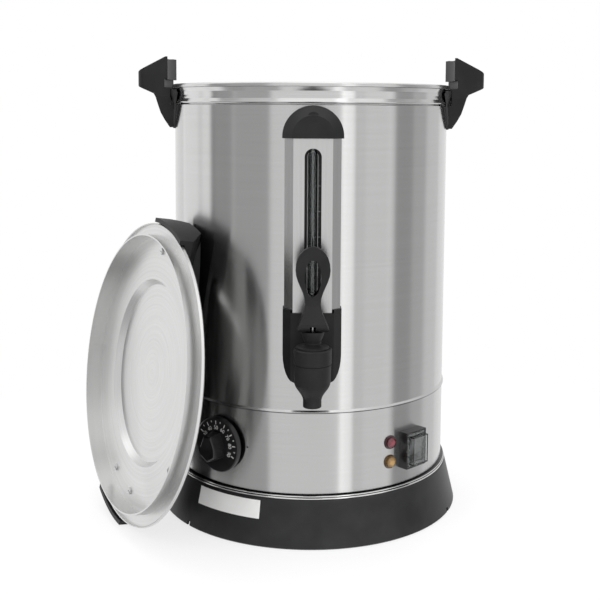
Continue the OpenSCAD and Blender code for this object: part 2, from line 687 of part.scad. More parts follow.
// Drawn for the front, then turned to the side
module side_handle() color(black) difference() {
    intersection() {
        rotate([90, 0, -90]) linear_extrude(handle_w, center = true) polygon([
            [bracket_in - 12, bracket_z], [body_r + 4, bracket_z],
            [body_r + 9, bracket_z + 8], [body_r + 13, bracket_z + 16],
            [body_r + 15.5, bracket_z + 25], [body_r + 17.5, shell_top + 8],
            [body_r + 19.5, shell_top + 11.5], [grip_x - 1.5, shell_top + 18.5],
            [grip_x, shell_top + 20], [grip_x, ear_top - 16.5],
            [grip_x - 2.5, ear_top - ear_slope], [ear_r - 2, ear_top],
            [ear_r - 12, ear_top]]);
        depth_extrude(body_r - 20, grip_x + 5) polygon([
            [13 - handle_w / 2, bracket_z], [-handle_w / 2, shell_top + 8],
            [-handle_w / 2, ear_top], [handle_w / 2, ear_top],
            [handle_w / 2, shell_top + 8], [handle_w / 2 - 13, bracket_z]]);
        linear_extrude(ear_top + cut) union() {
            translate([-handle_w / 2, grip_corner - grip_x])
                square([handle_w, grip_x - body_r + 30]);
            translate([grip_corner - handle_w / 2, -grip_x])
                square([handle_w - 2 * grip_corner, grip_corner * 2]);
            for (s = [-1, 1]) translate([s * (handle_w / 2 - grip_corner),
                grip_corner - grip_x]) circle(r = grip_corner, $fn = 48);
        }
    }
    cylinder(r = bracket_in, h = slot_z);
    translate([0, 0, shell_top]) cylinder(r = rim_r + clear + 2.2, h = slot_z - shell_top - 2);
    translate([0, 0, slot_z - 3]) cylinder(r = rim_r + clear, h = lock_slot_h);
    translate([0, 0, slot_z]) cylinder(r = slot_r, h = lock_slot_h);
    translate([0, 0, slot_top - 0.01]) cylinder(r = ear_r, h = ear_top);
    // Finger recess under the grip
    translate([0, 0, shell_top]) linear_extrude(recess_top - shell_top) union() {
        translate([-recess_half, recess_corner - recess_out])
            square([2 * recess_half, recess_deep - recess_corner]);
        translate([recess_corner - recess_half, -recess_out])
            square([2 * (recess_half - recess_corner), recess_deep]);
        for (s = [-1, 1]) translate([s * (recess_half - recess_corner),
            recess_corner - recess_out]) circle(r = recess_corner, $fn = 32);
    }
    handle_screw_places() outward(1.7, body_r - 5, bracket_in + 9);
}
module handle_left() at_az(-90) side_handle();
module handle_right() at_az(90) side_handle();

// Thin plates between the brackets and the shell, wrapped round it
module handle_plates() color(black) for (a = [90, -90]) at_az(a) difference() {
    intersection() {
        rotate_extrude() polygon([[plate_back, bracket_z - 1], [bracket_in - seat, bracket_z - 1],
            [bracket_in - seat, shell_top], [rim_r + 2, slot_z - 6], [rim_r + 2, slot_z - 2.4],
            [body_r + 2.6, slot_z - 2.4], [body_r + 2.6, band_top - 3],
            [body_r + 1.2, band_top - 5], [body_r + 1.2, shell_top], [plate_back, shell_top - 1]]);
        depth_extrude(body_r - 20, body_r + 20) polygon([
            [17 - handle_w / 2, bracket_z - 1], [-7 - handle_w / 2, shell_top],
            [-21 - handle_w / 2, slot_z], [handle_w / 2 + 21, slot_z],
            [handle_w / 2 + 7, shell_top], [handle_w / 2 - 17, bracket_z - 1]]);
    }
    handle_screw_places() outward(2.2, body_r - 5, body_r + 20);
}

module handle_screws() color(steel) for (a = [90, -90]) at_az(a) handle_screw_places()
    translate([0, -(sqrt(pow(inner_r, 2) - pow(handle_screw_x + 4, 2)) - seat), 0])
        rotate([-90, 0, 0]) screw(1.65, 12, 4, 1.8);

// ---------------------------------------------------------------- tap

tap_d = body_r + tap_out;
tube_d = body_r + 10;
barrel_top = shank_z + 16;
seat_z = shank_z - 10;
chamber_r = 11.5;
barrel_low = shank_z - 16;
spout_top = shank_z - 31;
spout_z = shank_z - spout_drop;
shank_end = tap_d - chamber_r - 2;
boss_h = 17;
nut_d = tank_r - sheet - 2;

module tap_shank() color(bright) at_az(front_az) translate([0, 0, shank_z])
    difference() {
        union() {
            outward(shank_r, tank_r - 13, shank_end);
            outward(11, body_r + 1.8, body_r + 4.8);
            translate([0, -tube_d, 0]) cylinder(r = tube_r + 3, h = boss_h);
        }
        outward(shank_bore, tank_r - 14, shank_end + cut);
        translate([0, -tube_d, 0]) cylinder(r = tube_r - 1.2, h = boss_h + cut);
        translate([0, -tube_d, boss_h - 8]) cylinder(r = tube_r + 0.1, h = 8 + cut);
        translate([0, -tube_d, boss_h - 3.6]) cylinder(r = tube_r + 1.7, h = 3.6 + cut);
    }

module shank_seals() color([0.85, 0.3, 0.2]) at_az(front_az) translate([0, 0, shank_z])
    difference() {
        union() {
            outward(12, body_r + seat, body_r + 1.7);
            outward(12.5, nut_d - 2.2, nut_d - 0.2);
        }
        outward(shank_r + 0.15, tank_r - 10, body_r + 5);
        translate([0, 0, -shank_z]) cylinder(r = tank_r - sheet - 2.6, h = 10);
    }

module shank_nut() color(bright) at_az(front_az) translate([0, 0, shank_z])
    difference() {
        outward(14, nut_d - 7.3, nut_d - 2.3, 13);
        outward(shank_r + 0.05, nut_d - 9, nut_d);
    }

module tap_body() color(black) at_az(front_az) difference() {
    union() {
        translate([0, -tap_d, 0]) rotate_extrude() polygon(concat(
            [[0, spout_z], [spout_r - 0.6, spout_z], [spout_r, spout_z + 0.6],
             [spout_r, spout_top - 3]],
            [for (i = [0:8]) let (t = i / 8) [spout_r + (barrel_r - 0.8 - spout_r) *
                (1 - cos(180 * t)) / 2, spout_top - 3 + (barrel_low + 3 - spout_top) * t]],
            [[barrel_r - 0.3, shank_z + 0.6], [barrel_r - 0.8, shank_z + 0.9],
             [barrel_r - 0.8, shank_z + 1.5], [barrel_r, shank_z + 1.8],
             [barrel_r, barrel_top - 1], [barrel_r - 1, barrel_top], [0, barrel_top]]));
        translate([0, 0, shank_z]) outward(11.5, shield_front + clear, tap_d);
    }
    translate([0, -tap_d, seat_z]) cylinder(r = chamber_r, h = barrel_top - seat_z + cut);
    translate([0, -tap_d, barrel_top - 7]) cylinder(r = 13, h = 8);
    translate([0, -tap_d, spout_z - cut])
        cylinder(r = spout_bore, h = seat_z - spout_z + 2 * cut);
    translate([0, 0, shank_z]) {
        outward(shank_r + run, tap_d - 40, shank_end + 0.1);
        outward(shank_bore, tap_d - 40, tap_d);
    }
}

// The lever's cam rides on the bonnet's flat top
bonnet_top = barrel_top + 16.5;
cam_rest = 6;
pin_z = bonnet_top + cam_rest;
pin_r = 1.5;
stem_r = 2.5;
cam_rate = stem_lift / (lever_tilt * PI / 180);

module tap_bonnet() color(black) at_az(front_az) translate([0, -tap_d, 0]) difference() {
    rotate_extrude() polygon([[0, barrel_top - 7 + seat], [12.9, barrel_top - 7 + seat],
        [12.9, barrel_top + seat], [barrel_r - 2.5, barrel_top + seat],
        [barrel_r - 2.5, barrel_top + 1.6], [barrel_r - 4, barrel_top + 2.4],
        [8, barrel_top + 4.5], [8, barrel_top + 6], [11.2, bonnet_top - 1],
        [11.2, bonnet_top], [0, bonnet_top]]);
    cylinder(r = stem_r + run, h = bonnet_top + cut);
}

stem_top = pin_z + 4.4;
cup_h = 6.5;
cup_r = spout_bore + 2.1;
module tap_stem() color(bright) at_az(front_az) translate([0, -tap_d, 0]) difference() {
    translate([0, 0, seat_z + 2]) cylinder(r = stem_r, h = stem_top - seat_z - 2);
    translate([-5, 0, pin_z]) rotate([0, 90, 0])
        cylinder(r = pin_r + 0.02, h = 10, $fn = 32);
}

module seat_cup() color([0.85, 0.84, 0.8]) at_az(front_az)
    translate([0, -tap_d, seat_z + 0.1]) difference() {
        rotate_extrude() polygon([[0, 0], [cup_r - 0.4, 0], [cup_r, 0.6], [cup_r, 4],
            [6, cup_h], [0, cup_h]]);
        translate([0, 0, 1.9]) cylinder(r = stem_r + 0.02, h = cup_h);
    }

// The closing spring: one wire wound round the stem, from the cup to the bonnet
spring_low = seat_z + cup_h + 0.1 + seat;
spring_high = barrel_top - 7;
wire_thick = 0.6;
coil_r = 4.6;
turns = 4;
steps = 8;
spring_path = [for (i = [0:turns * steps]) let (a = 360 * i / steps)
    [coil_r * cos(a), coil_r * sin(a), spring_low + wire_thick + seat +
        (spring_high - spring_low - 2 * (wire_thick + seat)) * i / (turns * steps)]];
least_gap = min([for (i = [0:turns * steps - steps], j = [i + steps - 1:i + steps])
    norm(spring_path[i] - spring_path[j])]) - 2 * wire_thick;
echo("least gap between the closing spring's turns", least_gap);
module closing_spring() color(bright) at_az(front_az) translate([0, -tap_d, 0])
    sweep(spring_path, wire_thick, 6);

module lever_pin() color(bright) at_az(front_az)
    translate([-11, -tap_d, pin_z]) rotate([0, 90, 0])
        cylinder(r = pin_r, h = 22, $fn = 32);

// Lower edge of the lever: the involute that keeps its gap to the rising bonnet
function cam_point(a) = let (h = cam_rest - clear + cam_rate * a * PI / 180)
    [h * sin(a) + cam_rate * cos(a), -h * cos(a) + cam_rate * sin(a)];
neck_z = 20;
neck_w = 14.4;
loop_mid = lever_h - 21.9;
loop_t = 7;
hub_w = 30;
function loop_edge(s) = concat(
    [for (i = [0:6]) let (t = i / 6) [s * (neck_w / 2 + (loop_w - neck_w) / 2 *
        (1 - cos(180 * t)) / 2), neck_z + (loop_mid - neck_z) * t]],
    [for (a = [15:15:75]) [s * loop_w / 2 * cos(a), loop_mid + 21.9 * sin(a)]]);
function reverse(p) = [for (i = [len(p) - 1:-1:0]) p[i]];
module lever_front() difference() {
    polygon(concat([[-hub_w / 2, -8], [-hub_w / 2, -3], [-9, 11]], loop_edge(-1),
        [[0, lever_h]], reverse(loop_edge(1)), [[9, 11], [hub_w / 2, -3], [hub_w / 2, -8]]));
    // Eye of the loop: an ellipse, drawn a little above the middle
    polygon([for (a = [0:15:345]) [7.8 * cos(a), loop_mid - 8.2 + 17.6 * sin(a)]]);
}
module lever_side() polygon(concat(
    [[-8, -cam_rest + clear]], [for (a = [0 : lever_tilt / 6 : lever_tilt]) cam_point(a)],
    [[12.5, 2], [loop_t / 2 + 1, neck_z - 2], [loop_t / 2, neck_z + 3],
     [loop_t / 2, lever_h + 1], [-loop_t / 2, lever_h + 1], [-loop_t / 2, neck_z],
     [-8, 2]]));
module tap_lever() color(black) at_az(front_az) translate([0, -tap_d, pin_z])
    difference() {
        intersection() {
            depth_extrude(-12, 16) lever_front();
            rotate([90, 0, -90]) linear_extrude(hub_w + loop_w, center = true) lever_side();
        }
        // Slot for the stem's eye, open below and in front
        translate([-stem_r - clear, -17, -9]) cube([2 * (stem_r + clear), 17 + stem_r + clear, 9]);
        translate([-stem_r - clear, 0, 0]) rotate([0, 90, 0])
            cylinder(r = 5.4, h = 2 * (stem_r + clear), $fn = 32);
        translate([-hub_w, 0, 0]) rotate([0, 90, 0])
            cylinder(r = pin_r + run, h = 2 * hub_w, $fn = 32);
    }

// ---------------------------------------------------------------- gauge

guard_d = body_r + guard_out;
guard_side_d = guard_d - 8;
cap_z = shell_top - 1 - cap_h;
cap_r = guard_w / 2 + clear + 2;
cap_mid = shell_top - 1 - cap_r;
guard_top = min(cap_mid + 2.5, cap_z + 5);
guard_low = shank_z + 36;
shield_t = 1;
shield_front = guard_d + clear + shield_t;
shield_top = shank_z + 43;
slot_low = shank_z + 58;
slot_high = cap_z - 9.6;

// Section of a channel that stands on the shell, in (x, distance)
module channel(w, face_w, side_d, face_d)
    rotate([0, 0, 180]) polygon([[-w / 2, body_r - 6], [-w / 2, side_d],
        [-face_w / 2, face_d], [face_w / 2, face_d], [w / 2, side_d], [w / 2, body_r - 6]]);

// A window with round ends, in (x, z)
module window(w, low, high) {
    translate([-w / 2, low + w / 2]) square([w, high - low - w]);
    for (z = [low + w / 2, high - w / 2]) translate([0, z]) circle(r = w / 2);
}

module gauge_guard() color(bright) at_az(front_az) difference() {
    union() {
        translate([0, 0, guard_low]) linear_extrude(guard_top - guard_low) difference() {
            channel(guard_w, guard_face_w, guard_side_d, guard_d);
            channel(guard_w - 2 * sheet, guard_face_w - sheet, guard_side_d - sheet / 2,
                guard_d - sheet);
        }
        depth_extrude(guard_d - sheet / 2, guard_d + 0.5)
            window(slot_w + 9.2, slot_low - 4.6, slot_high + 4.6);
    }
    depth_extrude(guard_d - 5, guard_d + 2) window(slot_w, slot_low, slot_high);
    depth_extrude(guard_d, guard_d + 2)
        window(slot_w + 5, slot_low - 2.5, slot_high + 2.5);
    cylinder(r = body_r + 0.15, h = rim_top);
}

scale_d = body_r + 2.4;
module scale_plate() color(black) at_az(front_az)
    translate([0, 0, guard_low + 2]) linear_extrude(guard_top - 2 - guard_low)
        translate([-guard_w / 2 + sheet + 0.2, -scale_d - 1])
            square([guard_w - 2 * sheet - 0.4, 1]);

tube_low = shank_z + boss_h - 7.8;
tube_high = cap_z + 13;
module sight_tube() color([0.8, 0.9, 0.9, 0.4]) at_az(front_az)
    translate([0, -tube_d, tube_low]) difference() {
        cylinder(r = tube_r, h = tube_high - tube_low);
        translate([0, 0, -cut]) cylinder(r = tube_r - 1, h = tube_high - tube_low + 2 * cut);
    }

module tube_seals() color([0.85, 0.84, 0.8]) at_az(front_az) translate([0, -tube_d, 0])
    for (z = [shank_z + boss_h - 3.5, cap_z + 6.1]) translate([0, 0, z]) difference() {
        cylinder(r = tube_r + 1.6, h = 3.4);
        translate([0, 0, -cut]) cylinder(r = tube_r + 0.05, h = 6);
    }

cap_side_d = guard_side_d + 3;
cap_front = guard_d + 5;
// Section of the cap: full radius at the sides, bevelled to a flat face
module cap_section(r, side_d, front_d) polygon([[0, body_r - 8], [r, body_r - 8],
    [r, side_d], [r - 9.5, front_d], [0, front_d]]);
module cap_solid(r, side_d, front_d) translate([0, 0, cap_mid]) rotate([90, 0, 0])
    rotate_extrude() cap_section(r, side_d, front_d);
module gauge_cap() color(black) at_az(front_az) difference() {
    union() {
        difference() {
            cap_solid(cap_r, cap_side_d, cap_front);
            cap_solid(cap_r - 2, cap_side_d - 0.6, cap_front - 2);
        }
        translate([0, -tube_d, cap_z + 6]) cylinder(r = tube_r + 3.2, h = 11);
        translate([-4, -cap_front + 1, cap_z + 7.6]) cube([8, cap_front - tube_d - 5, 9]);
        translate([0, 0, cap_stud_z]) outward(6, body_r - 2, cap_front - 1);
    }
    translate([0, -tube_d, cap_z + 5]) cylinder(r = tube_r + 1.7, h = 4.6);
    translate([0, -tube_d, cap_z + 5]) cylinder(r = tube_r + 0.1, h = 9);
    translate([0, 0, cap_stud_z]) outward(2.1, body_r - 4, body_r + 12);
    translate([-50, -cap_front - 50, cap_z - 60]) cube([100, 100, 60]);
    cylinder(r = body_r + 0.15, h = rim_top);
}

module cap_stud() color(steel) at_az(front_az) translate([0, 0, cap_stud_z]) {
    outward(2, inner_r - 4.4, body_r + 11.5);
    translate([0, -(inner_r - 3.6), 0]) rotate([90, 0, 0]) cylinder(r = 4.2, h = 3.2, $fn = 6);
}

shield_w = guard_w + 2 * clear + 2 * shield_t;
waist = shank_z - 25;
module shield_outline(inset) polygon(concat(
    [[-shield_w / 2 + inset, shield_top + 3], [-shield_w / 2 + inset, shank_z + 1]],
    [for (a = [0:15:75]) [-shield_w / 2 + inset + (shield_w / 2 - barrel_r) * (1 - cos(a)),
        shank_z + 1 - (shank_z + 1 - waist) * sin(a)]],
    [[-barrel_r + 1 + inset, waist - 1 + inset], [barrel_r - 1 - inset, waist - 1 + inset]],
    [for (a = [75:-15:0]) [shield_w / 2 - inset - (shield_w / 2 - barrel_r) * (1 - cos(a)),
        shank_z + 1 - (shank_z + 1 - waist) * sin(a)]],
    [[shield_w / 2 - inset, shank_z + 1], [shield_w / 2 - inset, shield_top + 3]]));
module tap_shield() color(black) at_az(front_az) difference() {
    intersection() {
        depth_extrude(body_r - 8, shield_front + 1) shield_outline(0);
        translate([0, 0, waist - 5]) linear_extrude(shield_top + 10 - waist)
            channel(shield_w, guard_face_w + 4, guard_side_d + clear + shield_t, shield_front);
    }
    intersection() {
        depth_extrude(body_r - 9, shield_front - shield_t) shield_outline(shield_t);
        translate([0, 0, waist]) linear_extrude(shield_top + 10 - waist)
            channel(shield_w - 2 * shield_t, guard_face_w + 1, guard_side_d + clear,
                shield_front - shield_t);
    }
    translate([-guard_face_w / 2 - 2, -shield_front - 1, shield_top])
        cube([guard_face_w + 4, 60, 20]);
    translate([0, 0, shank_z]) outward(shank_r + 0.2, body_r, shield_front + cut);
    cylinder(r = body_r + 0.15, h = rim_top);
}

// ---------------------------------------------------------------- label

// A blank plate on the base's cone, thin and bent round it
label_low = base_h - 20.5;
label_high = base_h - 3;
label_az = -46.3;
label_span = 28;
function skirt_out(z) = skirt_r - (skirt_r - skirt_top_r) * (z - 1.2) / (base_h - 2.7);
module label_plate() color("white") rotate([0, 0, -90 + label_az])
    rotate_extrude(angle = label_span)
    polygon([[skirt_out(label_low) + 0.05, label_low], [skirt_out(label_low) + 0.3, label_low],
        [skirt_out(label_high) + 0.3, label_high], [skirt_out(label_high) + 0.05, label_high]]);

// ---------------------------------------------------------------- lid

// The lid is drawn lying flat, its brim's underside at z = 0 and its handle
// along y, and then stood on its edge, the handle's bar leaning on the shell.
brim_r = body_r + brim_over;
lid_skirt_r = mouth_r - 1.7;
lid_az = -60.6;
lid_lean = 8;
lid_turn = 12.5;
lid_shift = -6;
brim_curl = 3;
panel_z = 5;
end_h = 25;
tab_out = brim_r + 5.6;
tab_in = brim_r + 1.2;
tab_low = -5;
tab_half = 37;
bar_end = brim_r - 4;
function bar_h(v) = lid_handle_h - (lid_handle_h - end_h) * pow(v / bar_end, 2);
bar_points = [for (i = [-12:12]) let (v = bar_end * i / 12) [v, bar_h(v)]];
// Distance of the lid's centre from the urn's axis, so that the bar just clears
// the shell, and its height, so that the tabs stand on the floor
lid_out = body_r + clear + max([for (p = bar_points)
    p[1] * cos(lid_lean) + p[0] * sin(lid_lean)]);
lid_up = tab_out * cos(lid_lean) + 0.1;
module lid_pose() at_az(lid_az) translate([lid_shift, -lid_out, lid_up])
    rotate([-90 - lid_lean, 0, 0]) rotate([0, 0, 180 + lid_turn]) children();

screw_along = 126;
screw_across = 24.5;
vent_place = [-112, -62, panel_z];
module lid_screw_places() for (x = [-1, 1], y = [-1, 1])
    translate([x * screw_across, y * screw_along, panel_z]) children();

module lid_pan() color(bright) lid_pose() difference() {
    union() {
        rotate_extrude() polygon(concat(
            [[0, panel_z + dome_rise], [dome_r - 5, panel_z + dome_rise],
             [dome_r, panel_z], [lid_skirt_r - 2 * sheet, panel_z],
             [lid_skirt_r - 2 * sheet, -skirt_depth], [lid_skirt_r, -skirt_depth],
             [lid_skirt_r, 0], [brim_r - 1.4, 0],
             [brim_r - 1.4, -brim_curl + 0.6], [brim_r - 0.6, -brim_curl]],
            arc([brim_r - 1.3, -0.5], 1.3, 0, 90, 4),
            [[lid_skirt_r - sheet, sheet], [lid_skirt_r - sheet, panel_z + sheet],
             [dome_r + 0.6, panel_z + sheet], [dome_r - 4.4, panel_z + dome_rise + sheet],
             [0, panel_z + dome_rise + sheet]]));
        translate(vent_place) vent_cowl(0);
    }
    translate(vent_place) vent_cowl(sheet);
    lid_screw_places() translate([0, 0, -2]) cylinder(r = 2.2, h = 6, $fn = 32);
}

// Steam vent: a small cowl pressed up out of the panel, open at one side
vent_r = 15;
module vent_cowl(wall) rotate([0, 0, lid_turn + 35]) intersection() {
    translate([0, 0, -wall - 0.01]) cylinder(r1 = vent_r - wall, r2 = vent_r - 6 - wall, h = 5);
    translate([-vent_r, wall - 7, -2]) cube([2 * vent_r, 12 + vent_r, 10]);
}

// Bar, end blocks and the tabs that hook over the brim
bar_t = 10;
block_in = brim_r - 46;
module lid_handle() color(black) lid_pose() difference() {
    union() {
        intersection() {
            rotate([90, 0, 90]) linear_extrude(lid_handle_w, center = true) polygon(concat(
                bar_points, [[block_in + 4, end_h - 8]],
                [for (i = [6:-1:-6]) let (v = (block_in - 8) * i / 6) [v, bar_h(v) - bar_t]],
                [[-block_in - 4, end_h - 8]]));
            cylinder(r = tab_out, h = 60);
        }
        intersection() {
            translate([0, 0, tab_low]) cylinder(r = tab_out, h = 60);
            rotate([90, 0, 0]) linear_extrude(2 * tab_out, center = true) polygon([
                [-tab_half, tab_low], [-tab_half, 9], [-tab_half + 3, 12],
                [-lid_handle_w / 2, end_h - 2.5], [-lid_handle_w / 2 + 2, end_h - 0.5],
                [lid_handle_w / 2 - 2, end_h - 0.5], [lid_handle_w / 2, end_h - 2.5],
                [tab_half - 3, 12], [tab_half, 9], [tab_half, tab_low]]);
            union() for (s = [-1, 1]) translate([-tab_half - 1, s * (block_in + 40) - 40, -10])
                cube([2 * tab_half + 2, 80, 60]);
        }
    }
    translate([0, 0, tab_low - cut]) cylinder(r = tab_in, h = cut - tab_low + sheet + seat);
    cylinder(r = lid_skirt_r + 0.3, h = panel_z + sheet + seat);
    lid_screw_places() translate([0, 0, -1]) cylinder(r = 1.6, h = 13, $fn = 32);
}

module lid_screws() color(steel) lid_pose() lid_screw_places()
    translate([0, 0, -seat]) mirror([0, 0, 1]) screw(1.5, 10, 3.6, 1.8);

base_skirt();
bottom_plate();
foot_pads();
bottom_screws();
trim_ring();
lower_housing();
outer_shell();
collar_band();
inner_tank();
flange_screws();
heat_plate();
heating_element();
warm_element();
press_bar();
tank_stud();
thermal_cutout();
sensor_bulb();
capillary_tube();
thermostat_body();
thermostat_screws();
thermostat_spindle();
control_knob();
red_lamp();
amber_lamp();
lamp_bodies();
switch_housing();
switch_rocker();
switch_cover();
terminal_block();
wiring();
power_inlet();
inlet_screws();
handle_left();
handle_right();
handle_plates();
handle_screws();
tap_shank();
shank_seals();
shank_nut();
tap_body();
tap_bonnet();
tap_stem();
seat_cup();
closing_spring();
lever_pin();
tap_lever();
tap_shield();
gauge_guard();
scale_plate();
sight_tube();
tube_seals();
gauge_cap();
cap_stud();
label_plate();
lid_pan();
lid_handle();
lid_screws();
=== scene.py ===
# %% [markdown]
# # Hot water urn: the looks
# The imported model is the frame. Its shapes are already right, so nothing in it is
# moved or remade. This script gives every node a finish, adds the printed marks,
# and sets up a plain pale studio.

# %% Frame
import math

import bmesh
import bpy
from mathutils import Matrix, Vector


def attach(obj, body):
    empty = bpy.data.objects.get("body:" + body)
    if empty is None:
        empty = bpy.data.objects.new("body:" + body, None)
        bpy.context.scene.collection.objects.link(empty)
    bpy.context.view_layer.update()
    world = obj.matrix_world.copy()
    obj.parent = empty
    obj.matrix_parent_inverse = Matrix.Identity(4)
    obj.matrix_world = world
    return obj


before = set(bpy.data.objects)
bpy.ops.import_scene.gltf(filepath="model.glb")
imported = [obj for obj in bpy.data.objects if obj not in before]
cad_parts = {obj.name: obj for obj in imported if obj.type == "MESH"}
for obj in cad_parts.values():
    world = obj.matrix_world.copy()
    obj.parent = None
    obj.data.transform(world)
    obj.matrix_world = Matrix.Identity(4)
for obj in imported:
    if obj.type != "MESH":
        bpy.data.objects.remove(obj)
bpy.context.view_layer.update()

# %% [markdown]
# ## The camera
# A product photo is often taken level, with the picture shifted so that upright
# lines stay upright. A large shift would push the urn out of the frame in other
# views, so most of it becomes a slight downward tilt here.

# %% Camera
CAMERA_PLACE = Vector((-0.0031, -1.135, 0.435))
CAMERA_PITCH = 5.6
CAMERA_ROLL = 0.35
FOCAL_PIXELS = 1014
PICTURE_PIXELS = 600

lens = bpy.data.cameras.new("photo_camera")
lens.sensor_width = 36
lens.lens = FOCAL_PIXELS / PICTURE_PIXELS * lens.sensor_width
lens.shift_x = -0.0125
lens.shift_y = -0.15
camera = bpy.data.objects.new("photo_camera", lens)
bpy.context.scene.collection.objects.link(camera)
camera.matrix_world = (Matrix.Translation(CAMERA_PLACE)
                       @ Matrix.Rotation(math.radians(90 - CAMERA_PITCH), 4, "X")
                       @ Matrix.Rotation(math.radians(CAMERA_ROLL), 4, "Z"))
bpy.context.scene.camera = camera
print("lens", round(lens.lens, 1), "mm")

# %% [markdown]
# ## Shader sums
# A material here is sums on the place of a point. They could be wired node by
# node, but a small class that overloads + - * / lets them be written as Python.
# A Value is one socket. A Finish is one material, and one method adds any other
# node.


# %% Value and Finish
def connect(tree, port, term):
    """Link a Value into a socket, or set the socket to a plain number or colour."""
    if isinstance(term, Value):
        tree.links.new(term.socket, port)
    else:
        port.default_value = term


class Value:
    """A shader socket that can be added, multiplied and compared."""

    def __init__(self, tree, socket):
        self.tree = tree
        self.socket = socket

    def math(self, operation, *terms):
        node = self.tree.nodes.new("ShaderNodeMath")
        node.operation = operation
        for port, term in zip(node.inputs, terms):
            connect(self.tree, port, term)
        return Value(self.tree, node.outputs[0])

    def __add__(self, other):
        return self.math("ADD", self, other)

    __radd__ = __add__

    def __sub__(self, other):
        return self.math("SUBTRACT", self, other)

    def __rsub__(self, other):
        return self.math("SUBTRACT", other, self)

    def __mul__(self, other):
        return self.math("MULTIPLY", self, other)

    __rmul__ = __mul__

    def __truediv__(self, other):
        return self.math("DIVIDE", self, other)

    def __rtruediv__(self, other):
        return self.math("DIVIDE", other, self)

    def __pow__(self, other):
        return self.math("POWER", self, other)

    def __rpow__(self, other):
        return self.math("POWER", other, self)

    def __neg__(self):
        return self * -1

    def __abs__(self):
        return self.math("ABSOLUTE", self)

    def least(self, other):
        return self.math("MINIMUM", self, other)

    def most(self, other):
        return self.math("MAXIMUM", self, other)

    def wrap(self, low, high):
        return self.math("WRAP", self, high, low)

    def ramp(self, low, high):
        """0 below low, 1 above high and a straight line between."""
        return ((self - low) / (high - low)).most(0).least(1)

    def band(self, low, high, soft):
        """1 between low and high, falling to 0 over soft on either side."""
        return self.ramp(low - soft, low) * (1 - self.ramp(high, high + soft))


class Nodes:
    """A node tree and the one method that adds to it."""

    def __init__(self, tree):
        self.tree = tree

    def add(self, kind, settings=None, inputs=None, output=0):
        """A node of any kind. Inputs go by name or number, and one output comes back."""
        node = self.tree.nodes.new(kind)
        for name, value in (settings or {}).items():
            setattr(node, name, value)
        for name, term in (inputs or {}).items():
            connect(self.tree, node.inputs[name], term)
        return Value(self.tree, node.outputs[output])

    def mix(self, share, first, second):
        """A colour from first to second as share goes from 0 to 1."""
        return self.add("ShaderNodeMix", {"data_type": "RGBA"},
                        {0: share, 6: first, 7: second}, 2)

    def noise(self, x, y, z, detail=2.0):
        """Noise from 0 to 1 at a point given by three sums."""
        place = self.add("ShaderNodeCombineXYZ", None, {0: x, 1: y, 2: z})
        return self.add("ShaderNodeTexNoise", None,
                        {"Vector": place, "Scale": 1.0, "Detail": detail})

    def place(self, kind="Object"):
        """The x, y and z of a point in the frame, in metres. On a world, Generated
        gives the direction that is looked along."""
        where = self.tree.nodes.new("ShaderNodeTexCoord").outputs[kind]
        parts = self.tree.nodes.new("ShaderNodeSeparateXYZ")
        self.tree.links.new(where, parts.inputs[0])
        return [Value(self.tree, parts.outputs[i]) for i in range(3)]

    def light_path(self, name):
        """1 for light that travels in the named way, and 0 for the rest."""
        return Value(self.tree, self.tree.nodes.new("ShaderNodeLightPath").outputs[name])


class Finish(Nodes):
    """One material, built on its Principled shader."""

    def __init__(self, name, **constants):
        self.material = bpy.data.materials.new(name)
        self.material.use_nodes = True
        super().__init__(self.material.node_tree)
        self.shader = self.tree.nodes["Principled BSDF"]
        for socket, value in constants.items():
            self.set(socket, value)

    def set(self, socket, term):
        connect(self.tree, self.shader.inputs[socket.replace("_", " ")], term)

    def bump(self, height, distance, strength=1.0):
        """Raise the surface by height times distance, in metres."""
        self.set("Normal", self.add("ShaderNodeBump", None, {
            "Height": height, "Distance": distance, "Strength": strength}))

    def paint(self, share, first, second):
        self.set("Base_Color", self.mix(share, (*first, 1), (*second, 1)))


print("shader sums ready")

# %% [markdown]
# ## Steel
# Brushing leaves fine scratches, which stretch a reflection across their run. Each
# sheet is brushed its own way: round the body, up and down the gauge guard, and in
# rings on the spun lid and tank. Noise that is squeezed across the scratches and
# drawn out along them varies colour, roughness and height together. Broad soft
# patches stand for handling. An image could carry this too, but it has a fixed size.


# %% Steel finishes
LID_CENTRE = Vector((-0.17597, -0.09227, 0.16112))
LID_OUT = Vector((0.86274, 0.48613, -0.13917))


